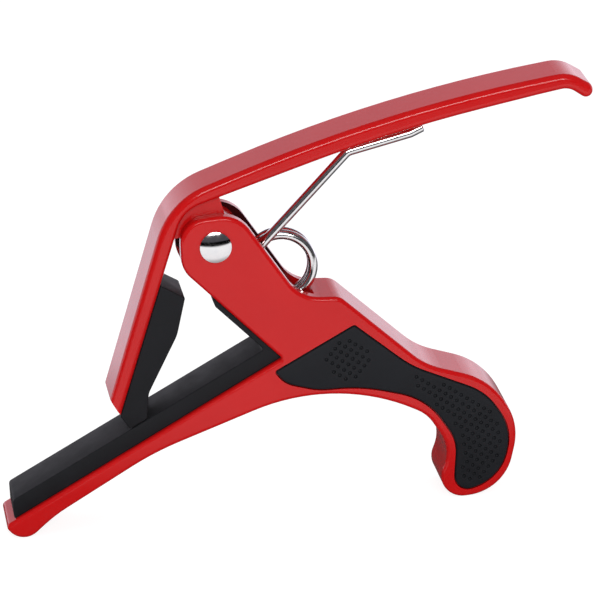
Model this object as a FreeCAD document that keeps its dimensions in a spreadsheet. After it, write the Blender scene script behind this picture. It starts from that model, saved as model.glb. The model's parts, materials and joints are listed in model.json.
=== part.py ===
"""Spring-loaded trigger capo for a guitar, in millimetres.

Frame of the part: the origin is the middle of the string pad's working face.
+X runs towards the handles, +Y runs across the width to the rear side, +Z is up.
The capo stands on the tip of its bar and on the hook of its lower handle.

Every piece is drawn round the pivot axis and placed as one with the others.
Side outlines are lists of corners (x, z, radius): straight lines joined by tangent arcs.
"""
import FreeCAD, Part
import math
import os

import Sketcher

# Driving sizes: alias, value and what it is.
SIZES = [
    ("pivot_x", 17.52, "pivot axis from the origin"),
    ("pivot_z", 36.91, "pivot axis from the origin"),
    ("frame_width", 13.5, "width of the frame across the strings"),
    ("frame_round", 0.8, "edge rounding of the frame"),
    ("slot_width", 8.0, "slot between the two ears"),
    ("lever_width", 12.5, "width of the lever"),
    ("lever_round", 1.25, "edge rounding of the lever"),
    ("lug_width", 7.8, "lug of the lever, between the ears"),
    ("lug_radius", 5.9, "round end of the lug"),
    ("pin_radius", 2.5, "shank of the pivot pin"),
    ("pin_seat_gap", 0.02, "radial gap of the pin in the ears"),
    ("pin_running_gap", 0.05, "radial gap of the pin in the lug"),
    ("head_radius", 3.2, "both heads of the pivot pin"),
    ("head_height", 0.95, "domed front head"),
    ("head_rim", 0.35, "straight rim of the domed head"),
    ("seat_depth", 0.8, "sunk seat of the rear head"),
    ("seat_gap", 0.2, "radial gap round the rear head"),
    ("string_pad_width", 11.2, "width of the string pad"),
    ("neck_pad_width", 11.2, "width of the neck pad"),
    ("inlay_recess", 1.3, "depth of the grip recess in each side"),
    ("inlay_thickness", 1.5, "thickness of a grip inlay"),
    ("inlay_gap", 0.12, "gap round a grip inlay"),
    ("wire_radius", 1.0, "spring wire"),
    ("coil_radius", 6.54, "mean radius of the spring coil"),
    ("coil_x", 13.7, "axis of the coil from the pivot axis"),
    ("coil_z", -7.1, "axis of the coil from the pivot axis"),
    ("coil_front", -2.4, "wire centre of the front turn, across the width"),
    ("coil_pitch", 2.1, "distance from turn to turn"),
    ("front_tangent", 134.8, "angle where the moving leg leaves the coil, degrees"),
    ("fixed_tangent", 240.0, "angle where the fixed leg leaves the coil, degrees"),
    ("whole_turns", 2.0, "whole turns between the two tangent points"),
    ("fixed_leg", 11.0, "length of the fixed leg"),
    ("leg_hole_gap", 0.15, "radial gap of the fixed leg in its hole"),
    ("leg_gap", 0.3, "gap between the moving leg's root and the coil"),
    ("leg_length", 26.66, "moving leg from the coil to its bend"),
    ("foot_length", 13.2, "foot under the lever"),
    ("foot_angle", 12.2, "slope of the foot, degrees"),
    ("tip_length", 2.8, "upturned tip of the foot"),
    ("tip_angle", 23.0, "slope of the tip, degrees"),
    ("leg_bend", 2.2, "bend radius of the moving leg"),
]

# Frame: ears round the pivot, hump, lower handle with its hook, bar, throat.
FRAME_OUTLINE = [
    (-7.0, -4.4, 6.0),
    (-6.95, 5.75, 5.3),
    (4.95, 6.35, 7.0),
    (16.7, -12.5, 8.0),
    (24.8, -13.0, 3.5),
    (41.8, -29.3, 15.4),
    (55.4, -33.9, 15.4),
    (60.8, -44.3, 12.6),
    (57.2, -58.5, 10.0),
    (41.7, -59.0, 4.6),
    (46.5, -48.0, 8.2),
    (41.7, -40.1, 8.2),
    (23.2, -30.05, 41.0),
    (-14.6, -42.9, 60.3),
    (-35.6, -54.6, 30.9),
    (-42.5, -60.37, 3.8),
    (-46.0, -56.0, 1.0),
    (12.4, -25.1, 0.4),
]

# Slot for the lever's lug and the spring, open at the top and towards the lever.
SLOT_OUTLINE = [
    (-14.0, -4.8, 0.0),
    (-4.3, -4.8, 0.6),
    (5.2, -15.2, 7.4),
    (22.0, -15.2, 8.1),
    (22.0, 14.0, 0.0),
    (-14.0, 14.0, 0.0),
]

GRIP_OUTLINE = [
    (10.5, -27.65, 0.7),
    (27.4, -19.0, 0.7),
    (38.8, -29.0, 21.9),
    (54.1, -36.1, 13.6),
    (59.4, -44.8, 10.8),
    (56.5, -55.8, 9.8),
    (46.4, -58.1, 3.0),
    (47.5, -46.3, 8.7),
    (41.5, -36.6, 14.5),
    (28.0, -32.6, 34.0),
    (19.6, -32.72, 14.0),
    (12.6, -30.6, 6.0),
]

# Lever: an arched strip with a bend at the pivot. The tail is cut off at an angle later.
LEVER_OUTLINE = [
    (-24.6, -36.0, 1.4),
    (-8.92, 9.84, 16.5),
    (36.6, 25.5, 305.0),
    (73.1, 29.85, 6.8),
    (78.1, 26.7, 1.7),
    (77.3, 23.5, 1.38),
    (72.9, 26.7, 3.6),
    (67.1, 25.8, 10.0),
    (37.4, 20.7, 303.0),
    (-6.0, 7.7, 7.3),
    (-22.6, -39.2, 1.38),
]

TAIL_CUT = [
    (-26.0, -25.3, 0.0),
    (-19.4, -37.3, 0.0),
    (-24.0, -44.0, 0.0),
    (-32.0, -34.0, 0.0),
]

LUG_WEB = [
    (-9.8, 1.3, 0.3),
    (-5.0, 1.9, 0.3),
    (2.6, 5.3, 0.3),
    (1.2, 11.0, 0.3),
    (-5.0, 9.3, 0.3),
    (-9.6, 3.6, 0.3),
]

# String pad, measured along the seat on the bar and along the throat wall:
# distance from the first corner, height above the surface, radius.
BAR_PAD_CORNERS = [
    (2.4, 0.0, 0.3),
    (4.3, 3.7, 0.9),
    (63.9, 3.4, 0.6),
]
THROAT_PAD_CORNERS = [
    (17.6, 1.25, 0.8),
    (20.4, 0.0, 0.3),
]

# Neck pad, measured in the same way down the inside of the lever's tail.
NECK_PAD_CORNERS = [
    (16.2, 0.0, 0.3),
    (17.4, 5.6, 0.5),
    (25.5, 6.3, 8.0),
    (38.9, 4.2, 5.0),
    (44.1, 5.4, 0.6),
    (47.2, 2.6, 0.6),
    (45.1, 0.0, 0.4),
]

# Corners between which the pads are seated.
EAR_CORNER = FRAME_OUTLINE[0]
BAR_TIP_CORNER = FRAME_OUTLINE[-2]
THROAT_CORNER = FRAME_OUTLINE[-1]
BEND_CORNER = LEVER_OUTLINE[-2]
TAIL_CORNER = LEVER_OUTLINE[-1]

doc = FreeCAD.newDocument("capo")
sheet = doc.addObject("Spreadsheet::Sheet", "Sizes")


def fill_sheet():
    """Write each driving size with its alias and its note."""
    for row, (alias, value, note) in enumerate(SIZES, start=1):
        sheet.set("A%d" % row, alias)
        sheet.set("B%d" % row, str(value))
        sheet.set("C%d" % row, note)
        sheet.setAlias("B%d" % row, alias)
    doc.recompute()


def size(alias):
    """Value of a driving size."""
    return float(sheet.get(alias))


def bind(feature, **expressions):
    """Bind properties of a feature to formulas of the sheet's aliases."""
    for prop, formula in expressions.items():
        feature.setExpression(prop, formula)


def origin_plane(body, role):
    """One of the body's own origin planes."""
    for feature in body.Origin.OriginFeatures:
        if feature.Role == role:
            return feature
    raise ValueError(role)


def new_sketch(body, name, role="XZ_Plane"):
    """Empty sketch on an origin plane of the body."""
    sketch = body.newObject("Sketcher::SketchObject", name)
    sketch.AttachmentSupport = [(origin_plane(body, role), "")]
    sketch.MapMode = "FlatFace"
    return sketch


def unit(a, b):
    """Unit vector from point a to point b."""
    step = FreeCAD.Vector(b[0] - a[0], b[1] - a[1], 0)
    return step.normalize()


def corner_arc(before, corner, after):
    """Tangent points and arc of a rounded corner: (start, end, arc or None)."""
    point = FreeCAD.Vector(corner[0], corner[1], 0)
    radius = corner[2]
    if radius == 0:
        return point, point, None
    back = unit(corner, before)
    ahead = unit(corner, after)
    half = back.getAngle(ahead) / 2
    start = point + back * (radius / math.tan(half))
    end = point + ahead * (radius / math.tan(half))
    centre = point + (back + ahead).normalize() * (radius / math.sin(half))
    from_centre = start - centre
    to_end = end - centre
    angles = [math.atan2(v.y, v.x) for v in (from_centre, to_end)]
    if from_centre.cross(to_end).z < 0:
        angles.reverse()
    if angles[1] < angles[0]:
        angles[1] += 2 * math.pi
    circle = Part.Circle(centre, FreeCAD.Vector(0, 0, 1), radius)
    return start, end, Part.ArcOfCircle(circle, *angles)


def rounded_outline(sketch, corners):
    """Draw a closed outline: lines between corners, tangent arcs in the corners."""
    count = len(corners)
    turns = []
    for i in range(count):
        turns.append(corner_arc(corners[i - 1], corners[i], corners[(i + 1) % count]))
    for i, (start, end, arc) in enumerate(turns):
        if arc is not None:
            sketch.addGeometry(arc)
        sketch.addGeometry(Part.LineSegment(end, turns[(i + 1) % count][0]))


def seated(corners, start, end):
    """Corners measured from start towards end and outwards, turned into (x, z, radius)."""
    along = unit(start, end)
    placed = []
    for distance, height, radius in corners:
        x = start[0] + along.x * distance - along.y * height
        z = start[1] + along.y * distance + along.x * height
        placed.append((x, z, radius))
    return placed


def string_pad_outline():
    """The pad on the bar and its thin leg up the throat wall."""
    bar = seated(BAR_PAD_CORNERS, BAR_TIP_CORNER, THROAT_CORNER)
    throat = seated(THROAT_PAD_CORNERS, THROAT_CORNER, EAR_CORNER)
    return bar + throat + [THROAT_CORNER]


def neck_pad_outline():
    """The pad inside the lever's tail, its toe just clear of the string pad."""
    return seated(NECK_PAD_CORNERS, BEND_CORNER, TAIL_CORNER)


def inset(corners, distance):
    """The same outline moved inwards; a negative distance moves it outwards."""
    area = 0
    for i, (x, z, radius) in enumerate(corners):
        area += corners[i - 1][0] * z - x * corners[i - 1][1]
    side = 1 if area > 0 else -1
    moved = []
    for i, corner in enumerate(corners):
        into = unit(corners[i - 1], corner)
        out = unit(corner, corners[(i + 1) % len(corners)])
        turn = into.cross(out).z * side
        normals = [FreeCAD.Vector(-d.y * side, d.x * side, 0) for d in (into, out)]
        shift = (normals[0] + normals[1]) * (distance / (1 + normals[0].dot(normals[1])))
        radius = corner[2] - math.copysign(distance, turn)
        moved.append((corner[0] + shift.x, corner[1] + shift.y, max(radius, 0.2)))
    return moved


def pad(body, name, corners, width):
    """Pad an outline across the width, half to each side."""
    sketch = new_sketch(body, name + "Sketch")
    rounded_outline(sketch, corners)
    feature = body.newObject("PartDesign::Pad", name)
    feature.Profile = sketch
    feature.Midplane = True
    bind(feature, Length=width)
    return feature


def cut_across(body, name, sketch, width):
    """Cut a sketch's outline out across the width, half to each side."""
    feature = body.newObject("PartDesign::Pocket", name)
    feature.Profile = sketch
    feature.Midplane = True
    bind(feature, Length=width)
    return feature


def cut_from_side(body, name, sketch, depth, rear):
    """Cut a sketch into the front or the rear face of the frame; it has to remove material."""
    before = body.Shape.Volume
    sign = "-" if rear else ""
    sketch.setExpression("AttachmentOffset.Base.z", sign + "Sizes.frame_width / 2")
    feature = body.newObject("PartDesign::Pocket", name)
    feature.Profile = sketch
    feature.Reversed = rear
    bind(feature, Length=depth)
    doc.recompute()
    if feature.Shape.Volume > before - 1:
        raise RuntimeError(name + " cuts nothing")
    return feature


def circle_sketch(body, name, radius):
    """Circle round the pivot axis, its radius bound to the sheet."""
    sketch = new_sketch(body, name)
    circle = Part.Circle(FreeCAD.Vector(0, 0, 0), FreeCAD.Vector(0, 0, 1), 1)
    index = sketch.addGeometry(circle)
    sketch.addConstraint(Sketcher.Constraint("Coincident", index, 3, -1, 1))
    constraint = sketch.addConstraint(Sketcher.Constraint("Radius", index, 1))
    sketch.setExpression("Constraints[%d]" % constraint, radius)
    return sketch


def round_side_edges(body, name, radius):
    """Round the edges that lie in the two side faces of the body."""
    doc.recompute()
    base = body.Tip
    box = base.Shape.BoundBox
    edges = []
    for index, edge in enumerate(base.Shape.Edges, start=1):
        low = edge.BoundBox.YMin
        high = edge.BoundBox.YMax
        if high - low < 1e-4 and min(abs(low - box.YMin), abs(low - box.YMax)) < 1e-4:
            edges.append("Edge%d" % index)
    feature = body.newObject("PartDesign::Fillet", name)
    feature.Base = (base, edges)
    bind(feature, Radius=radius)
    doc.recompute()
    return feature


def new_body(label):
    """A body of the document, placed on the pivot; its label names its file."""
    body = doc.addObject("PartDesign::Body", label)
    body.Label = label
    body.setExpression("Placement.Base.x", "Sizes.pivot_x")
    body.setExpression("Placement.Base.z", "Sizes.pivot_z")
    return body


def point_on_coil(angle, y):
    """Point of the coil's centre line at an angle from +X towards +Z, degrees."""
    turn = math.radians(angle)
    radius = size("coil_radius")
    x = size("coil_x") + radius * math.cos(turn)
    z = size("coil_z") + radius * math.sin(turn)
    return FreeCAD.Vector(x, y, z)


def coil_turns():
    """Turns of the coil between its two tangent points."""
    return size("whole_turns") + (size("fixed_tangent") - size("front_tangent")) / 360


def coil_back():
    """Wire centre of the last turn, across the width."""
    return size("coil_front") + coil_turns() * size("coil_pitch")


def fixed_leg_placement():
    """Start and direction of the fixed leg, along the tangent of the coil's end."""
    angle = size("fixed_tangent")
    start = point_on_coil(angle, coil_back())
    heading = math.radians(angle + 90)
    direction = FreeCAD.Vector(math.cos(heading), 0, math.sin(heading))
    return FreeCAD.Placement(start, FreeCAD.Rotation(FreeCAD.Vector(0, 0, 1), direction))


def build_frame():
    """Cast frame: ears, throat, bar and lower handle in one piece."""
    body = new_body("frame")
    pad(body, "FrameBlank", FRAME_OUTLINE, "Sizes.frame_width")
    round_side_edges(body, "FrameEdges", "Sizes.frame_round")
    slot = new_sketch(body, "SlotSketch")
    rounded_outline(slot, SLOT_OUTLINE)
    cut_across(body, "Slot", slot, "Sizes.slot_width")
    bore = circle_sketch(body, "BoreSketch", "Sizes.pin_radius + Sizes.pin_seat_gap")
    cut_across(body, "Bore", bore, "Sizes.frame_width + 2")
    doc.recompute()
    seat = circle_sketch(body, "SeatSketch", "Sizes.head_radius + Sizes.seat_gap")
    cut_from_side(body, "HeadSeat", seat, "Sizes.seat_depth", rear=True)
    for side, rear in (("Front", False), ("Rear", True)):
        recess = new_sketch(body, side + "RecessSketch")
        rounded_outline(recess, GRIP_OUTLINE)
        cut_from_side(body, side + "Recess", recess, "Sizes.inlay_recess", rear)
    hole = body.newObject("PartDesign::SubtractiveCylinder", "LegHole")
    hole.Placement = fixed_leg_placement()
    bind(
        hole,
        Radius="Sizes.wire_radius + Sizes.leg_hole_gap",
        Height="Sizes.fixed_leg + 0.5",
    )


def build_lever():
    """Cast lever: upper handle, bend, tail for the neck pad, and the lug on the pin."""
    body = new_body("lever")
    pad(body, "Strip", LEVER_OUTLINE, "Sizes.lever_width")
    round_side_edges(body, "StripEdges", "Sizes.lever_round")
    tail = new_sketch(body, "TailCutSketch")
    rounded_outline(tail, TAIL_CUT)
    cut_across(body, "TailCut", tail, "Sizes.lever_width + 2")
    pad(body, "LugWeb", LUG_WEB, "Sizes.lug_width")
    eye = circle_sketch(body, "LugEyeSketch", "Sizes.lug_radius")
    round_end = body.newObject("PartDesign::Pad", "LugEye")
    round_end.Profile = eye
    round_end.Midplane = True
    bind(round_end, Length="Sizes.lug_width")
    bore = circle_sketch(body, "LugBoreSketch", "Sizes.pin_radius + Sizes.pin_running_gap")
    cut_across(body, "LugBore", bore, "Sizes.lug_width + 2")


def build_pivot_pin():
    """Riveted pin: domed head in front, shank, flush head in the sunk seat behind."""
    body = new_body("pivot_pin")
    sketch = new_sketch(body, "PinSketch", "XY_Plane")
    front = -size("frame_width") / 2
    rear = size("frame_width") / 2
    shank = size("pin_radius")
    head = size("head_radius")
    dome = front - size("head_height")
    rim = front - size("head_rim")
    floor = rear - size("seat_depth")
    vector = FreeCAD.Vector
    axis_point = vector(0, dome, 0)
    rim_point = vector(head, rim, 0)
    rise = rim - dome
    sphere = (head * head + rise * rise) / (2 * rise)
    on_dome = vector(sphere * math.sin(0.5 * math.asin(head / sphere)), 0, 0)
    on_dome.y = dome + sphere - math.sqrt(sphere * sphere - on_dome.x * on_dome.x)
    sketch.addGeometry(Part.Arc(axis_point, on_dome, rim_point))
    points = [
        rim_point,
        vector(head, front, 0),
        vector(shank, front, 0),
        vector(shank, floor, 0),
        vector(head, floor, 0),
        vector(head, rear, 0),
        vector(0, rear, 0),
        axis_point,
    ]
    for start, end in zip(points, points[1:]):
        sketch.addGeometry(Part.LineSegment(start, end))
    feature = body.newObject("PartDesign::Revolution", "PinTurned")
    feature.Profile = sketch
    feature.ReferenceAxis = (sketch, ["V_Axis"])
    feature.Angle = 360


def build_pad(label, outline, width):
    """Soft pad: a plain closed block half to each side."""
    body = new_body(label)
    pad(body, label + "_block", outline, width)


def build_inlay(label, rear):
    """Rubber grip in the side recess of the lower handle, slightly proud."""
    body = new_body(label)
    sketch = new_sketch(body, label + "_sketch")
    rounded_outline(sketch, inset(GRIP_OUTLINE, size("inlay_gap")))
    floor = "Sizes.frame_width / 2 - Sizes.inlay_recess"
    sketch.setExpression("AttachmentOffset.Base.z", "-(%s)" % floor if rear else floor)
    feature = body.newObject("PartDesign::Pad", label + "_block")
    feature.Profile = sketch
    feature.Reversed = rear
    bind(feature, Length="Sizes.inlay_thickness")


def build_spring_coil():
    """Close-wound coil with its fixed leg; built round its own axis, then placed."""
    body = new_body("spring_coil")
    profile = new_sketch(body, "WireSketch", "XY_Plane")
    circle = Part.Circle(FreeCAD.Vector(1, 0, 0), FreeCAD.Vector(0, 0, 1), 1)
    wire = profile.addGeometry(circle)
    bindings = [
        (Sketcher.Constraint("Radius", wire, 1), "Sizes.wire_radius"),
        (Sketcher.Constraint("DistanceX", -1, 1, wire, 3, 1), "Sizes.coil_radius"),
        (Sketcher.Constraint("DistanceY", wire, 3, -1, 1, 1), "-Sizes.coil_front"),
    ]
    for constraint, formula in bindings:
        index = profile.addConstraint(constraint)
        profile.setExpression("Constraints[%d]" % index, formula)
    helix = body.newObject("PartDesign::AdditiveHelix", "Coil")
    helix.Profile = profile
    helix.ReferenceAxis = (profile, ["V_Axis"])
    helix.Mode = "pitch-turns-angle"
    bind(
        helix,
        Pitch="Sizes.coil_pitch",
        Turns="Sizes.whole_turns + (Sizes.fixed_tangent - Sizes.front_tangent) / 360",
    )
    helix.LeftHanded = True
    doc.recompute()
    turn = FreeCAD.Rotation(FreeCAD.Vector(0, 1, 0), -size("front_tangent"))
    centre = FreeCAD.Vector(size("coil_x"), 0, size("coil_z"))
    leg = body.newObject("PartDesign::AdditiveCylinder", "FixedLeg")
    leg.Placement = FreeCAD.Placement(centre, turn).inverse() * fixed_leg_placement()
    bind(leg, Radius="Sizes.wire_radius", Height="Sizes.fixed_leg")
    body.Placement = FreeCAD.Placement(FreeCAD.Vector(), turn)
    body.setExpression("Placement.Base.x", "Sizes.pivot_x + Sizes.coil_x")
    body.setExpression("Placement.Base.z", "Sizes.pivot_z + Sizes.coil_z")


def step_from(point, length, angle):
    """Point at a length and an angle in degrees from another one, with the bend radius."""
    turn = math.radians(angle)
    x = point[0] + length * math.cos(turn)
    z = point[1] + length * math.sin(turn)
    return (x, z, size("leg_bend"))


def build_spring_leg():
    """Moving leg: from the front turn up to the lever, foot along the lever's underside."""
    body = new_body("spring_leg")
    path = new_sketch(body, "LegPath")
    path.setExpression("AttachmentOffset.Base.z", "-Sizes.coil_front")
    heading = size("front_tangent") - 90
    root = point_on_coil(size("front_tangent"), 0)
    start = step_from((root.x, root.z), size("leg_gap"), heading)
    bend = step_from((root.x, root.z), size("leg_length"), heading)
    foot = step_from(bend, size("foot_length"), size("foot_angle"))
    tip = step_from(foot, size("tip_length"), size("tip_angle"))
    first = corner_arc(start, bend, foot)
    second = corner_arc(bend, foot, tip)
    path.addGeometry(Part.LineSegment(FreeCAD.Vector(start[0], start[1], 0), first[0]))
    path.addGeometry(first[2])
    path.addGeometry(Part.LineSegment(first[1], second[0]))
    path.addGeometry(second[2])
    path.addGeometry(Part.LineSegment(second[1], FreeCAD.Vector(tip[0], tip[1], 0)))
    doc.recompute()
    profile = body.newObject("Sketcher::SketchObject", "LegSection")
    profile.AttachmentSupport = [(path, "Edge1")]
    profile.MapMode = "NormalToEdge"
    circle = Part.Circle(FreeCAD.Vector(0, 0, 0), FreeCAD.Vector(0, 0, 1), 1)
    index = profile.addGeometry(circle)
    profile.addConstraint(Sketcher.Constraint("Coincident", index, 3, -1, 1))
    constraint = profile.addConstraint(Sketcher.Constraint("Radius", index, 1))
    profile.setExpression("Constraints[%d]" % constraint, "Sizes.wire_radius")
    pipe = body.newObject("PartDesign::AdditivePipe", "LegWire")
    pipe.Profile = profile
    pipe.Spine = (path, ["Edge%d" % n for n in range(1, 6)])


def check_document():
    """Stop when any object failed or any sub-part has no valid shape."""
    for item in doc.Objects:
        if "Invalid" in item.State or "Error" in item.State:
            raise RuntimeError("%s: %s" % (item.Label, item.State))
    for body in bodies():
        if body.Shape.isNull() or not body.Shape.isValid():
            raise RuntimeError(body.Label + " has no valid shape")


def bodies():
    """The sub-parts."""
    return [item for item in doc.Objects if item.TypeId == "PartDesign::Body"]


def main():
    fill_sheet()
    build_frame()
    build_lever()
    build_pivot_pin()
    build_pad("string_pad", string_pad_outline(), "Sizes.string_pad_width")
    build_pad("neck_pad", neck_pad_outline(), "Sizes.neck_pad_width")
    build_inlay("grip_inlay_front", rear=False)
    build_inlay("grip_inlay_rear", rear=True)
    build_spring_coil()
    build_spring_leg()
    doc.recompute()
    check_document()
    os.makedirs("parts", exist_ok=True)
    for body in bodies():
        body.Shape.exportStep("parts/%s.step" % body.Label)
        print("%-18s volume %8.1f" % (body.Label, body.Shape.Volume))


main()
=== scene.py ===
"""Guitar capo: the looks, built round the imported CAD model. Lengths are in metres.

The two castings keep their CAD meshes and get their paint. The rubber pads, the dimpled grip
inlays, the rivet and the spring are made here as meshes of their own.
"""

import json
import math

import bmesh
import bpy
from mathutils import Matrix, Vector
from mathutils.geometry import delaunay_2d_cdt

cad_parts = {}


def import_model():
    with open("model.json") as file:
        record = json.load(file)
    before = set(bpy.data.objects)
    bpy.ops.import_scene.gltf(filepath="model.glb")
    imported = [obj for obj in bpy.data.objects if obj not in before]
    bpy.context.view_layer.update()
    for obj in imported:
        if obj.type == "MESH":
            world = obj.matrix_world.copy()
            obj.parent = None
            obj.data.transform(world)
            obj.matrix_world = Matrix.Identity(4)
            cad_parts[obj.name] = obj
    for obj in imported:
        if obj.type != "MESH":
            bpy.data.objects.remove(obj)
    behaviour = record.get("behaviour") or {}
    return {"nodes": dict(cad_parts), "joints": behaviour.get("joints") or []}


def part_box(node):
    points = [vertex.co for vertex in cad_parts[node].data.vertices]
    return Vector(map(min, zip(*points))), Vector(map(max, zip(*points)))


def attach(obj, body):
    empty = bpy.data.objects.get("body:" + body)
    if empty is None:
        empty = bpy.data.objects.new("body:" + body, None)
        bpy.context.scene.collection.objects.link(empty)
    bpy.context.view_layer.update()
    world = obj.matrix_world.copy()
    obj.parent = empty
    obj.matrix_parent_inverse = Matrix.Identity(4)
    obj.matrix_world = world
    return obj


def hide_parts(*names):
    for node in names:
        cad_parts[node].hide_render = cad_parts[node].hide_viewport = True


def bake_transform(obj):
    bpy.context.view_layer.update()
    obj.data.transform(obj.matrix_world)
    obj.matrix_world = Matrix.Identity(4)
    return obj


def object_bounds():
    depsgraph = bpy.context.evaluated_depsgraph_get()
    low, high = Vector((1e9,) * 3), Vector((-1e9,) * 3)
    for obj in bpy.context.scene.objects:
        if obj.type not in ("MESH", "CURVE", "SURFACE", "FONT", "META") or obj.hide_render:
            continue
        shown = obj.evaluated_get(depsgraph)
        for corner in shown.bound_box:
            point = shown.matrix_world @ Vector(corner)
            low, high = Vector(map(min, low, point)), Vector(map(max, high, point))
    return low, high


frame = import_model()
cad_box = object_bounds()

MM = 0.001
JOINTS = {joint["name"]: joint for joint in frame["joints"]}
PIVOT = Vector(JOINTS["lever_hinge"]["pos_m"])
COIL_CENTRE = Vector(JOINTS["spring_leg_turn"]["pos_m"])
FLOOR_Z = cad_box[0].z

# Slot of the frame, from the pivot: its walls and floor get painted shade
SLOT_HALF_WIDTH = 4.04 * MM
SLOT_FADE = (14 * MM, 18 * MM)
SLOT_FLOOR = -15.3 * MM
SLOT_SLOPE = 1.095
SLOT_THROAT = -10.0 * MM

# Rubber
PAD_ROUND = 0.28 * MM
INLAY_ROUND = 0.35 * MM
INLAY_GAP = 0.13 * MM
ROUND_STEPS = 4
SHARP_ANGLE = math.radians(38)

# Dimples of the grip inlays: a slightly skewed square lattice
DIMPLE_RADIUS = 0.46 * MM
DIMPLE_DEPTH = 0.42 * MM
DIMPLE_SIDES = 12
DIMPLE_PROFILE = ((0.86, 0.35), (0.68, 0.78), (0.38, 0.97))
DIMPLE_PITCH = 1.44 * MM
ROW_ANGLE = math.radians(-36)
COLUMN_ANGLE = math.radians(50)
DIMPLE_MARGIN = 1.25 * MM
SMALL_PATCH = {
    "start": (26.7 * MM, -26.3 * MM),
    "reach": 6,
    "centre": (25.8 * MM, -26.2 * MM),
    "radius": 4.5 * MM,
}
LARGE_PATCH = {"start": (50.9 * MM, -44.9 * MM), "reach": 16, "left": 39.2 * MM}

# Pivot pin
PIN_HEAD = 3.2 * MM
PIN_RISE = 0.6 * MM
PIN_HEIGHT = 0.95 * MM
PIN_SHANK = 2.5 * MM
PIN_SEAT = 0.8 * MM
PIN_EDGE = 0.15 * MM
PIN_SIDES = 96
DOME_STEPS = 10

# Spring: coil, fixed leg in the casting, moving leg with its foot and upturned tip
WIRE_SIDES = 20
COIL_RADIUS = 6.54 * MM
COIL_STEP = math.radians(6)
FRONT_TANGENT = math.radians(134.8)
BACK_TANGENT = math.radians(240 + 720)
FIXED_LEG = 10.9 * MM
MOVING_LEG = [(26.66 * MM, 44.8), (13.2 * MM, 12.2), (2.8 * MM, 23.0)]
LEG_BEND = 2.2 * MM
WIRE_CHAMFER = 0.2 * MM

# Colours, gloss and noise (features per metre) of the materials; noise runs over this span
NOISE_SPAN = (0.3, 0.7)
WHITE = (1, 1, 1, 1)
PAINT_DEEP = (0.55, 0.0042, 0.005, 1)
PAINT_FULL = (0.59, 0.0055, 0.0062, 1)
# Painted highlight: lighter red laid along the castings' edges
PAINT_HIGHLIGHT = (0.72, 0.02, 0.022, 1)
PAINT_HIGHLIGHT_WIDTH = 0.5 * MM
PAINT_HIGHLIGHT_SHARE = 0.35
PAINT_ROUGHNESS = (0.13, 0.2)
PAINT_IOR = 1.42
PAINT_CLOUD = 60
PAINT_PEEL = 1100
PAINT_GRAIN = 9000
PAINT_GRAIN_SHARE = 0.25
PAINT_SMEAR = 220
# Painted shade: near-black red laid on the walls and floor of the frame's slot
SLOT_SHADE_COLOUR = (0.035, 0.004, 0.005, 1)
CHROME_COOL = (0.8, 0.8, 0.81, 1)
CHROME_WARM = (0.88, 0.87, 0.86, 1)
CHROME_SPREAD = 0.1
CHROME_SMEAR = 900
CHROME_FINE = 7000
PIN_DULLNESS = 0.05
SPRING_DULLNESS = 0.1
PAD_DARK = (0.0042, 0.0046, 0.0066, 1)
PAD_LIGHT = (0.008, 0.0086, 0.0118, 1)
PAD_GRAIN = 4200
GRIP_DARK = (0.0061, 0.0068, 0.0098, 1)
GRIP_LIGHT = (0.0098, 0.011, 0.015, 1)
GRIP_GRAIN = 5200
# Painted highlight: pale grey laid along the rubber's edges
RUBBER_HIGHLIGHT = (0.045, 0.045, 0.05, 1)
RUBBER_HIGHLIGHT_WIDTH = 0.35 * MM
RUBBER_HIGHLIGHT_SHARE = 0.3
RUBBER_ROUGHNESS = (0.55, 0.68)
RUBBER_IOR = 1.36
RUBBER_CLOUD = 180
RUBBER_SPAN = (0.32, 0.68)

# Floor and surroundings: levels, and fades over depth or over the sine of the elevation
FLOOR_CLOUD = 3
FLOOR_TONES = (0.9, 0.94)
FLOOR_SHARE = 0.3
FLOOR_GLOW = 0.88
FLOOR_FADE = (-0.3, -0.22)
FLOOR_NEAR = (-0.06, -0.03)
FLOOR_NEAR_SHARE = 0.12
FLOOR_DROP = 0.02 * MM
FLOOR_HALF = 4
MIRROR_GLOW = 0.15
MIRROR_TINT = (1.0, 0.965, 1.09, 1)
BEHIND_FADE = (0.06, 0.15)
BEHIND_GLOW = 1.05
SKY_FADE = (0.0, 1.0)
SKY_LEVELS = (0.1, 0.95)
BACK_FADE = (0.0, 0.34)
BACK_LEVELS = (1.65, 0.52)
TOP_FADE = (0.36, 0.6)
TOP_LEVEL = 0.08
FRONT_LEVEL = 0.07
SIDE_FADE = (-0.1, 0.1)

# The one light, in front and above
BOX_PLACE = (0.06, -0.92, 0.46)
BOX_WIDTH = 0.6
BOX_HEIGHT = 0.2
BOX_POWER = 4.2

# Camera, aimed at a point given from the pivot
AIM = PIVOT + Vector((15.7, -13.1, -10.5)) * MM
CAMERA_DISTANCE = 0.84
CAMERA_AZIMUTH = math.radians(-7.34)
CAMERA_ELEVATION = math.radians(19.34)
CAMERA_ROLL = math.radians(-2.62)
CAMERA_LENS = 252


# --- node trees -------------------------------------------------------------------------

def feed(tree, socket, value):
    """Link a socket to another one, or give it a plain value."""
    if isinstance(value, bpy.types.NodeSocket):
        tree.links.new(value, socket)
    else:
        socket.default_value = value


def feed_inputs(tree, node, **inputs):
    """Feed a node's inputs by name."""
    for name, value in inputs.items():
        feed(tree, node.inputs[name.replace("_", " ")], value)


def add_node(tree, kind, settings=None, **inputs):
    """New shader node; inputs are given by name, as values or as sockets to link."""
    node = tree.nodes.new(kind)
    for name, value in (settings or {}).items():
        setattr(node, name, value)
    feed_inputs(tree, node, **inputs)
    return node


def calculate(tree, operation, *values):
    """Output of a maths node on up to three values or sockets."""
    node = tree.nodes.new("ShaderNodeMath")
    node.operation = operation
    for socket, value in zip(node.inputs, values):
        feed(tree, socket, value)
    return node.outputs[0]


def rescale(tree, value, old, new):
    """Value mapped from one range to another, clamped."""
    node = add_node(
        tree, "ShaderNodeMapRange",
        Value=value,
        From_Min=old[0],
        From_Max=old[1],
        To_Min=new[0],
        To_Max=new[1],
    )
    return node.outputs["Result"]


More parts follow.
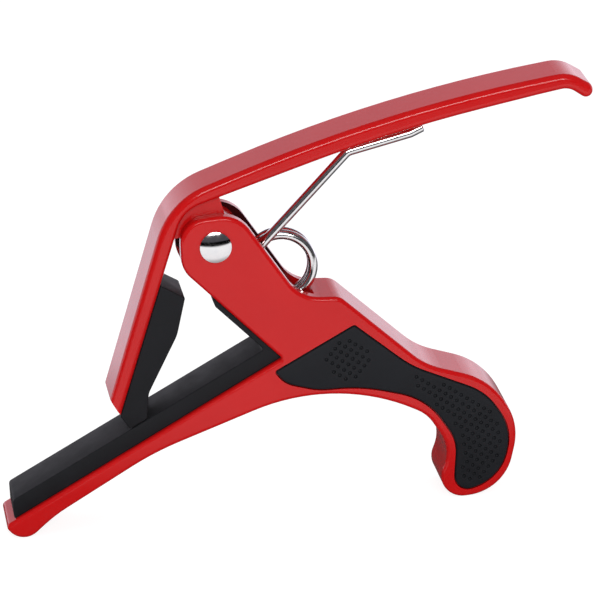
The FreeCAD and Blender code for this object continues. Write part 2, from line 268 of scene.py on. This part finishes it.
def noise(tree, place, scale, detail=2.0, roughness=0.5):
    """Noise between about 0.3 and 0.7; scale is in features per metre."""
    node = add_node(
        tree, "ShaderNodeTexNoise",
        Vector=place,
        Scale=scale,
        Detail=detail,
        Roughness=roughness,
    )
    return node.outputs["Fac"]


def blend_colours(tree, factor, first, second):
    """Mix of two colours by a factor."""
    node = tree.nodes.new("ShaderNodeMix")
    node.data_type = "RGBA"
    for name, value in (("Factor_Float", factor), ("A_Color", first), ("B_Color", second)):
        feed(tree, next(s for s in node.inputs if s.identifier == name), value)
    return next(s for s in node.outputs if s.identifier == "Result_Color")


def new_material(name):
    """Material with its node tree, its Principled shader and object coordinates."""
    material = bpy.data.materials.new(name)
    material.use_nodes = True
    tree = material.node_tree
    shader = tree.nodes["Principled BSDF"]
    place = tree.nodes.new("ShaderNodeTexCoord").outputs["Object"]
    return material, tree, shader, place


def edge_mask(tree, radius):
    """1 near sharp edges, 0 on flat faces."""
    rounded = add_node(tree, "ShaderNodeBevel", {"samples": 4}, Radius=radius).outputs["Normal"]
    normal = tree.nodes.new("ShaderNodeNewGeometry").outputs["Normal"]
    dot = tree.nodes.new("ShaderNodeVectorMath")
    dot.operation = "DOT_PRODUCT"
    tree.links.new(rounded, dot.inputs[0])
    tree.links.new(normal, dot.inputs[1])
    return rescale(tree, dot.outputs["Value"], (0.97, 0.75), (0.0, 1.0))


# --- materials --------------------------------------------------------------------------

def slot_shade_mask(tree, place):
    """Where the painted shade goes: 1 on the walls and the floor of the frame's slot, 0 on the rest of
    the casting.
    """
    parts = add_node(tree, "ShaderNodeSeparateXYZ", Vector=place).outputs
    x = calculate(tree, "SUBTRACT", parts["X"], PIVOT.x)
    z = calculate(tree, "SUBTRACT", parts["Z"], PIVOT.z)
    slope = calculate(tree, "ADD", z, calculate(tree, "MULTIPLY", x, SLOT_SLOPE))
    tests = [
        calculate(tree, "LESS_THAN", calculate(tree, "ABSOLUTE", parts["Y"]), SLOT_HALF_WIDTH),
        rescale(tree, x, SLOT_FADE, (1.0, 0.0)),
        calculate(tree, "GREATER_THAN", z, SLOT_FLOOR),
        calculate(tree, "GREATER_THAN", slope, SLOT_THROAT),
    ]
    within = tests[0]
    for test in tests[1:]:
        within = calculate(tree, "MULTIPLY", within, test)
    return within


def red_paint(name, shaded_slot=False):
    """Smooth gloss paint on a casting: faint orange peel, a painted highlight along the edges, painted
    shade in the slot if asked.
    """
    material, tree, shader, place = new_material(name)
    cloud = noise(tree, place, PAINT_CLOUD, detail=3)
    patchy = rescale(tree, cloud, NOISE_SPAN, (0.0, 1.0))
    colour = blend_colours(tree, patchy, PAINT_DEEP, PAINT_FULL)
    # Painted highlight along the edges
    edge = calculate(tree, "MULTIPLY", edge_mask(tree, PAINT_HIGHLIGHT_WIDTH), PAINT_HIGHLIGHT_SHARE)
    colour = blend_colours(tree, edge, colour, PAINT_HIGHLIGHT)
    if shaded_slot:
        # Painted shade on the walls and floor of the slot
        colour = blend_colours(tree, slot_shade_mask(tree, place), colour, SLOT_SHADE_COLOUR)
    peel = noise(tree, place, PAINT_PEEL, detail=2)
    grain = noise(tree, place, PAINT_GRAIN, detail=1)
    height = calculate(tree, "ADD", peel, calculate(tree, "MULTIPLY", grain, PAINT_GRAIN_SHARE))
    bump = add_node(tree, "ShaderNodeBump", Strength=0.12, Distance=0.02 * MM, Height=height)
    smear = noise(tree, place, PAINT_SMEAR, detail=4, roughness=0.65)
    feed_inputs(
        tree, shader,
        Base_Color=colour,
        Roughness=rescale(tree, smear, NOISE_SPAN, PAINT_ROUGHNESS),
        IOR=PAINT_IOR,
        Normal=bump.outputs["Normal"],
    )
    return material


def chrome(name, dull):
    """Bright plating with faint rubbing marks; dull is the least roughness."""
    material, tree, shader, place = new_material(name)
    smear = noise(tree, place, CHROME_SMEAR, detail=4, roughness=0.7)
    fine = noise(tree, place, CHROME_FINE, detail=2)
    rubbed = rescale(tree, smear, (0.35, 0.65), (0.0, 1.0))
    tint = blend_colours(tree, rubbed, CHROME_COOL, CHROME_WARM)
    bump = add_node(tree, "ShaderNodeBump", Strength=0.06, Distance=0.01 * MM, Height=fine)
    feed_inputs(
        tree, shader,
        Base_Color=tint,
        Metallic=1.0,
        Roughness=rescale(tree, smear, NOISE_SPAN, (dull, dull + CHROME_SPREAD)),
        Normal=bump.outputs["Normal"],
    )
    return material


def rubber(name, dark, light, grain_scale):
    """Black moulded rubber: fine matt grain, paler at the edges from a painted highlight."""
    material, tree, shader, place = new_material(name)
    smear = noise(tree, place, RUBBER_CLOUD, detail=5, roughness=0.65)
    cloud = rescale(tree, smear, RUBBER_SPAN, (0.0, 1.0))
    colour = blend_colours(tree, cloud, dark, light)
    # Painted highlight along the edges
    edge = calculate(tree, "MULTIPLY", edge_mask(tree, RUBBER_HIGHLIGHT_WIDTH), RUBBER_HIGHLIGHT_SHARE)
    colour = blend_colours(tree, edge, colour, RUBBER_HIGHLIGHT)
    grain = noise(tree, place, grain_scale, detail=3, roughness=0.6)
    bump = add_node(tree, "ShaderNodeBump", Strength=0.35, Distance=0.03 * MM, Height=grain)
    feed_inputs(
        tree, shader,
        Base_Color=colour,
        Roughness=rescale(tree, cloud, (0.0, 1.0), RUBBER_ROUGHNESS),
        IOR=RUBBER_IOR,
        Sheen_Weight=0.03,
        Sheen_Roughness=0.5,
        Normal=bump.outputs["Normal"],
    )
    return material


# --- mesh helpers -----------------------------------------------------------------------

def new_object(name, mesh, material):
    """Object in the scene from a bmesh, smooth shaded but for its sharp edges."""
    data = bpy.data.meshes.new(name)
    bmesh.ops.recalc_face_normals(mesh, faces=mesh.faces)
    mesh.to_mesh(data)
    mesh.free()
    data.materials.append(material)
    data.shade_smooth()
    data.set_sharp_from_angle(angle=SHARP_ANGLE)
    piece = bpy.data.objects.new(name, data)
    bpy.context.scene.collection.objects.link(piece)
    return piece


def side_outline(node):
    """Outline (x, z) of a flat-sided CAD node, read off its front face, anticlockwise."""
    data = frame["nodes"][node].data
    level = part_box(node)[0].y
    rim = set()
    for face in data.polygons:
        corners = [data.vertices[i].co for i in face.vertices]
        if all(abs(c.y - level) < 0.01 * MM for c in corners):
            keys = [(round(c.x, 7), round(c.z, 7)) for c in corners]
            for a, b in zip(keys, keys[1:] + keys[:1]):
                if (b, a) in rim:
                    rim.remove((b, a))
                else:
                    rim.add((a, b))
    after = dict(rim)
    start = min(after)
    loop = [start]
    while after[loop[-1]] != start:
        loop.append(after[loop[-1]])
    if signed_area(loop) < 0:
        loop.reverse()
    return [Vector(p) for p in loop]


def signed_area(loop):
    """Area of a closed outline, positive when anticlockwise in (x, z)."""
    total = 0.0
    for (ax, az), (bx, bz) in zip(loop, loop[1:] + loop[:1]):
        total += ax * bz - bx * az
    return total / 2


def inset(loop, distance):
    """Anticlockwise outline moved inwards by a distance."""
    moved = []
    for i, point in enumerate(loop):
        into = (point - loop[i - 1]).normalized()
        out = (loop[(i + 1) % len(loop)] - point).normalized()
        left = Vector((-into.y - out.y, into.x + out.x))
        moved.append(point + left * (distance / (1 + into.dot(out))))
    return moved


def ring(mesh, loop, y):
    """Vertices of an outline at one place across the width."""
    return [mesh.verts.new((p.x, y, p.y)) for p in loop]


def join_rings(mesh, first, second):
    """Strip of faces between two rings of the same length."""
    for i in range(len(first)):
        j = (i + 1) % len(first)
        mesh.faces.new((first[i], first[j], second[j], second[i]))


def fill(mesh, rim, holes=()):
    """Triangles of a flat side face between its outer ring and the rings of its holes."""
    verts = list(rim)
    edges = [(i, (i + 1) % len(rim)) for i in range(len(rim))]
    for hole in holes:
        first = len(verts)
        verts += hole
        edges += [(first + k, first + (k + 1) % len(hole)) for k in range(len(hole))]
    points = [Vector((v.co.x, v.co.z)) / MM for v in verts]
    _, _, triangles, origins, _, _ = delaunay_2d_cdt(points, edges, [], 1, 1e-6)
    hole_of = [-1] * len(rim)
    for number, hole in enumerate(holes):
        hole_of += [number] * len(hole)
    for triangle in triangles:
        corners = [origins[i][0] for i in triangle]
        owners = {hole_of[i] for i in corners}
        if len(owners) == 1 and -1 not in owners:
            continue
        mesh.faces.new([verts[i] for i in corners])


def rounded_side(mesh, loop, edge, face, radius):
    """Rings of a rounded rim, from the wall at y = edge to the side face at y = face."""
    side = 1 if face > edge else -1
    rings = []
    for step in range(ROUND_STEPS + 1):
        turn = math.pi / 2 * step / ROUND_STEPS
        y = face - side * radius * (1 - math.sin(turn))
        rings.append(ring(mesh, inset(loop, radius * (1 - math.cos(turn))), y))
    for first, second in zip(rings, rings[1:]):
        join_rings(mesh, first, second)
    return rings


# --- rubber pads ------------------------------------------------------------------------

def rubber_pad(node, name, material):
    """Moulded block with the CAD pad's outline and rounded rims on both sides."""
    mesh = bmesh.new()
    loop = side_outline(node)
    low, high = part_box(node)
    front = rounded_side(mesh, loop, 0, low.y, PAD_ROUND)
    rear = rounded_side(mesh, loop, 0, high.y, PAD_ROUND)
    join_rings(mesh, front[0], rear[0])
    fill(mesh, front[-1])
    fill(mesh, rear[-1])
    piece = new_object(name, mesh, material)
    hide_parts(node)
    return piece


# --- grip inlays ------------------------------------------------------------------------

def lattice(start, reach):
    """Points of the dimple lattice round a start point, in the side view from the pivot."""
    row = Vector((math.cos(ROW_ANGLE), math.sin(ROW_ANGLE))) * DIMPLE_PITCH
    column = Vector((math.cos(COLUMN_ANGLE), math.sin(COLUMN_ANGLE))) * DIMPLE_PITCH
    for i in range(-reach, reach + 1):
        for j in range(-reach, reach + 1):
            yield Vector(start) + row * i + column * j


def inside(point, loop):
    """Whether a point lies within a closed outline."""
    hit = False
    for a, b in zip(loop, loop[1:] + loop[:1]):
        if (a.y > point.y) != (b.y > point.y):
            if point.x < a.x + (b.x - a.x) * (point.y - a.y) / (b.y - a.y):
                hit = not hit
    return hit


def distance_to(point, loop):
    """Distance from a point to a closed outline."""
    best = 1.0
    for a, b in zip(loop, loop[1:] + loop[:1]):
        along = b - a
        share = max(0.0, min(1.0, (point - a).dot(along) / along.length_squared))
        best = min(best, (point - a - along * share).length)
    return best


def dimple_centres(loop):
    """Centres of both patches of dimples that keep clear of the inlay's outline."""
    hub = Vector((PIVOT.x, PIVOT.z))
    centres = []
    for point in lattice(SMALL_PATCH["start"], SMALL_PATCH["reach"]):
        if (point - Vector(SMALL_PATCH["centre"])).length < SMALL_PATCH["radius"]:
            centres.append(point + hub)
    for point in lattice(LARGE_PATCH["start"], LARGE_PATCH["reach"]):
        if point.x > LARGE_PATCH["left"]:
            centres.append(point + hub)
    return [c for c in centres if inside(c, loop) and distance_to(c, loop) > DIMPLE_MARGIN]


def circle_points(centre, radius):
    """Points of one dimple's ring."""
    points = []
    for k in range(DIMPLE_SIDES):
        turn = 2 * math.pi * k / DIMPLE_SIDES
        points.append(centre + Vector((math.cos(turn), math.sin(turn))) * radius)
    return points


def dimpled_face(mesh, rim, loop, y, inwards):
    """Flat face inside the rim's ring with a pressed bowl at each dimple."""
    mouths = []
    for centre in dimple_centres(loop):
        mouth = ring(mesh, circle_points(centre, DIMPLE_RADIUS), y)
        press_bowl(mesh, mouth, centre, y, inwards)
        mouths.append(mouth)
    fill(mesh, rim, mouths)


def press_bowl(mesh, mouth, centre, y, inwards):
    """Steep-walled bowl below a ring of vertices."""
    outer = mouth
    for share, depth in DIMPLE_PROFILE:
        level = y + inwards * DIMPLE_DEPTH * depth
        inner = ring(mesh, circle_points(centre, DIMPLE_RADIUS * share), level)
        join_rings(mesh, outer, inner)
        outer = inner
    mesh.faces.new(outer)


def grip_inlay(node, name, outward, material):
    """Rubber plate in its recess: rounded rim, flat back, dimpled outer face."""
    mesh = bmesh.new()
    loop = inset(side_outline(node), INLAY_GAP)
    low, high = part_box(node)
    face, back = (low.y, high.y) if outward < 0 else (high.y, low.y)
    rim = rounded_side(mesh, loop, back, face, INLAY_ROUND)
    base = ring(mesh, loop, back)
    join_rings(mesh, rim[0], base)
    fill(mesh, base)
    dimpled_face(mesh, rim[-1], loop, face, -outward)
    piece = new_object(name, mesh, material)
    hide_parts(node)
    return piece


# --- spring -----------------------------------------------------------------------------

def bend(before, corner, after, radius, steps=8):
    """Points of the arc that rounds a corner of a flat path."""
    back = (before - corner).normalized()
    ahead = (after - corner).normalized()
    half = back.angle(ahead) / 2
    centre = corner + (back + ahead).normalized() * (radius / math.sin(half))
    start = (corner + back * (radius / math.tan(half)) - centre).normalized()
    end = (corner + ahead * (radius / math.tan(half)) - centre).normalized()
    return [centre + start.slerp(end, k / steps) * radius for k in range(steps + 1)]


def spring_path():
    """Centre line of the wire from the fixed leg's end, round the coil, to the leg's tip."""
    low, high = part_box("spring_leg")
    radius = (high.y - low.y) / 2
    front = low.y + radius
    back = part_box("spring_coil")[1].y - radius

    def on_coil(turn, y):
        return COIL_CENTRE + Vector((math.cos(turn) * COIL_RADIUS, y, math.sin(turn) * COIL_RADIUS))

    heading = BACK_TANGENT + math.pi / 2
    leave = on_coil(BACK_TANGENT, back)
    path = [leave + Vector((math.cos(heading), 0, math.sin(heading))) * FIXED_LEG]
    sweep = BACK_TANGENT - FRONT_TANGENT
    steps = round(sweep / COIL_STEP)
    for k in range(steps + 1):
        share = k / steps
        path.append(on_coil(BACK_TANGENT - sweep * share, back + (front - back) * share))
    corners = [path[-1]]
    for length, angle in MOVING_LEG:
        turn = math.radians(angle)
        corners.append(corners[-1] + Vector((math.cos(turn), 0, math.sin(turn))) * length)
    for before, corner, after in zip(corners, corners[1:], corners[2:]):
        path += bend(before, corner, after, LEG_BEND)
    path.append(corners[-1])
    return path, radius


def tube(mesh, path, radius):
    """Round wire along a path, its ends chamfered and closed."""
    ends = [path[0] + (path[1] - path[0]).normalized() * WIRE_CHAMFER]
    ends.append(path[-1] + (path[-2] - path[-1]).normalized() * WIRE_CHAMFER)
    line = [path[0], ends[0]] + path[1:-1] + [ends[1], path[-1]]
    sizes = [radius - WIRE_CHAMFER] + [radius] * (len(line) - 2) + [radius - WIRE_CHAMFER]
    across = Vector((0, 1, 0))
    rings = []
    for i, (point, size) in enumerate(zip(line, sizes)):
        ahead = (line[min(i + 1, len(line) - 1)] - line[max(i - 1, 0)]).normalized()
        across = (across - ahead * across.dot(ahead)).normalized()
        up = ahead.cross(across)
        circle = []
        for k in range(WIRE_SIDES):
            turn = 2 * math.pi * k / WIRE_SIDES
            circle.append(mesh.verts.new(point + (across * math.cos(turn) + up * math.sin(turn)) * size))
        rings.append(circle)
    for first, second in zip(rings, rings[1:]):
        join_rings(mesh, first, second)
    mesh.faces.new(rings[0])
    mesh.faces.new(rings[-1])


def spring(material):
    """One continuous wire from the fixed leg's end, round the coil, to the moving leg's tip."""
    mesh = bmesh.new()
    path, radius = spring_path()
    tube(mesh, path, radius)
    piece = new_object("torsion_spring", mesh, material)
    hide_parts("spring_coil", "spring_leg")
    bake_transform(piece)


# --- pivot pin --------------------------------------------------------------------------

def pivot_pin(material):
    """Rivet turned about the pivot axis: domed front head, shank, flush rear head."""
    low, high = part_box("pivot_pin")
    ball = (PIN_HEAD ** 2 + PIN_RISE ** 2) / (2 * PIN_RISE)
    reach = math.asin(PIN_HEAD / ball)
    profile = []
    for k in range(1, DOME_STEPS + 1):
        turn = reach * k / DOME_STEPS
        profile.append((ball * math.sin(turn), low.y + ball * (1 - math.cos(turn))))
    front = low.y + PIN_HEIGHT
    floor_y = high.y - PIN_SEAT
    profile += [(PIN_HEAD, front), (PIN_SHANK, front), (PIN_SHANK, floor_y), (PIN_HEAD, floor_y)]
    profile += [(PIN_HEAD, high.y - PIN_EDGE), (PIN_HEAD - PIN_EDGE, high.y)]
    mesh = bmesh.new()
    rings = [[mesh.verts.new(p) for p in turned(radius, y)] for radius, y in profile]
    for first, second in zip(rings, rings[1:]):
        join_rings(mesh, first, second)
    mesh.faces.new(rings[-1])
    tip = mesh.verts.new((PIVOT.x, low.y, PIVOT.z))
    for a, b in zip(rings[0], rings[0][1:] + rings[0][:1]):
        mesh.faces.new((tip, a, b))
    piece = new_object("rivet", mesh, material)
    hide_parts("pivot_pin")
    return piece


def turned(radius, y):
    """Points of a circle round the pivot axis."""
    points = []
    for k in range(PIN_SIDES):
        turn = 2 * math.pi * k / PIN_SIDES
        points.append(Vector((PIVOT.x + radius * math.cos(turn), y, PIVOT.z + radius * math.sin(turn))))
    return points


# --- studio -----------------------------------------------------------------------------

def ray_is(tree, kind):
    """1 for rays of one kind: Is Camera Ray or Is Glossy Ray."""
    return tree.nodes.new("ShaderNodeLightPath").outputs[kind]


def mix(tree, factor, first, second):
    """Plain number between two others."""
    share = calculate(tree, "MULTIPLY", calculate(tree, "SUBTRACT", second, first), factor)
    return calculate(tree, "ADD", first, share)


def floor():
    """Plain pale floor; the camera sees it nearly shadowless, mirrors see it end in front."""
    mesh = bmesh.new()
    bmesh.ops.create_grid(mesh, x_segments=1, y_segments=1, size=FLOOR_HALF)
    material, tree, shader, place = new_material("floor_pale")
    tone = rescale(tree, noise(tree, place, FLOOR_CLOUD), NOISE_SPAN, FLOOR_TONES)
    camera_ray = ray_is(tree, "Is Camera Ray")
    glossy_ray = ray_is(tree, "Is Glossy Ray")
    depth = add_node(tree, "ShaderNodeSeparateXYZ", Vector=place).outputs["Y"]
    front = rescale(tree, depth, FLOOR_FADE, (0.0, 1.0))
    near = rescale(tree, depth, FLOOR_NEAR, (1.0, FLOOR_NEAR_SHARE))
    reach = mix(tree, glossy_ray, 1.0, calculate(tree, "MULTIPLY", front, near))
    share = mix(tree, camera_ray, reach, FLOOR_SHARE)
    level = calculate(tree, "MULTIPLY", tone, share)
    colour = tree.nodes.new("ShaderNodeCombineColor")
    for socket in colour.inputs[:3]:
        tree.links.new(level, socket)
    behind = rescale(tree, depth, BEHIND_FADE, (0.0, BEHIND_GLOW))
    before = calculate(tree, "MULTIPLY", reach, MIRROR_GLOW)
    mirrored = calculate(tree, "MULTIPLY", calculate(tree, "ADD", behind, before), glossy_ray)
    glow = mix(tree, camera_ray, mirrored, FLOOR_GLOW)
    feed_inputs(
        tree, shader,
        Base_Color=colour.outputs["Color"],
        Roughness=0.9,
        Specular_IOR_Level=0.0,
        Emission_Color=blend_colours(tree, glossy_ray, WHITE, MIRROR_TINT),
        Emission_Strength=glow,
    )
    piece = new_object("floor", mesh, material)
    piece.location.z = FLOOR_Z - FLOOR_DROP


def world():
    """Soft even light; mirrors see it bright low behind and dark in front and overhead."""
    scene_world = bpy.data.worlds.new("studio")
    bpy.context.scene.world = scene_world
    scene_world.use_nodes = True
    tree = scene_world.node_tree
    direction = tree.nodes.new("ShaderNodeTexCoord").outputs["Generated"]
    parts = add_node(tree, "ShaderNodeSeparateXYZ", Vector=direction).outputs
    behind = rescale(tree, parts["Y"], SIDE_FADE, (0.0, 1.0))
    low = rescale(tree, parts["Z"], BACK_FADE, BACK_LEVELS)
    high = rescale(tree, parts["Z"], TOP_FADE, (1.0, TOP_LEVEL / BACK_LEVELS[1]))
    back = calculate(tree, "MULTIPLY", low, high)
    mirrored = mix(tree, behind, FRONT_LEVEL, back)
    sky = rescale(tree, parts["Z"], SKY_FADE, SKY_LEVELS)
    seen = mix(tree, ray_is(tree, "Is Camera Ray"), sky, 1.0)
    total = mix(tree, ray_is(tree, "Is Glossy Ray"), seen, mirrored)
    background = tree.nodes["Background"]
    tree.links.new(total, background.inputs["Strength"])
    tint = blend_colours(tree, ray_is(tree, "Is Glossy Ray"), WHITE, MIRROR_TINT)
    tree.links.new(tint, background.inputs["Color"])


def softbox(name, place, target, width, height, power):
    """Rectangular area light aimed at a point."""
    light = bpy.data.lights.new(name, "AREA")
    light.shape = "RECTANGLE"
    light.size = width
    light.size_y = height
    light.energy = power
    lamp = bpy.data.objects.new(name, light)
    lamp.location = place
    lamp.rotation_mode = "QUATERNION"
    lamp.rotation_quaternion = (Vector(target) - Vector(place)).to_track_quat("-Z", "Y")
    bpy.context.scene.collection.objects.link(lamp)


def camera():
    """The viewing camera, a long lens to the left of the front and above."""
    data = bpy.data.cameras.new("camera")
    data.lens = CAMERA_LENS
    data.clip_start = 0.01
    data.clip_end = 20
    turn = (
        Matrix.Rotation(CAMERA_AZIMUTH, 3, "Z")
        @ Matrix.Rotation(math.pi / 2 - CAMERA_ELEVATION, 3, "X")
        @ Matrix.Rotation(CAMERA_ROLL, 3, "Z")
    )
    eye = bpy.data.objects.new("camera", data)
    eye.matrix_world = Matrix.Translation(AIM + turn @ Vector((0, 0, CAMERA_DISTANCE))) @ turn.to_4x4()
    bpy.context.scene.collection.objects.link(eye)
    bpy.context.scene.camera = eye


# --- the scene --------------------------------------------------------------------------

def paint_nodes():
    """Materials of the CAD nodes that stay."""
    paints = {"frame": red_paint("paint_frame", True), "lever": red_paint("paint_lever")}
    for node, material in paints.items():
        frame["nodes"][node].data.materials[0] = material


paint_nodes()
pad_rubber = rubber("rubber_pad", PAD_DARK, PAD_LIGHT, PAD_GRAIN)
grip_rubber = rubber("rubber_grip", GRIP_DARK, GRIP_LIGHT, GRIP_GRAIN)
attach(rubber_pad("string_pad", "string_pad_rubber", pad_rubber), "fixed_arm")
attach(rubber_pad("neck_pad", "neck_pad_rubber", pad_rubber), "moving_lever")
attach(grip_inlay("grip_inlay_front", "grip_front_rubber", -1, grip_rubber), "fixed_arm")
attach(grip_inlay("grip_inlay_rear", "grip_rear_rubber", 1, grip_rubber), "fixed_arm")
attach(pivot_pin(chrome("chrome_pin", PIN_DULLNESS)), "fixed_arm")
spring(chrome("chrome_spring", SPRING_DULLNESS))

floor()
world()
softbox("front_box", BOX_PLACE, AIM, BOX_WIDTH, BOX_HEIGHT, BOX_POWER)
camera()
bpy.context.scene.view_settings.view_transform = "Standard"
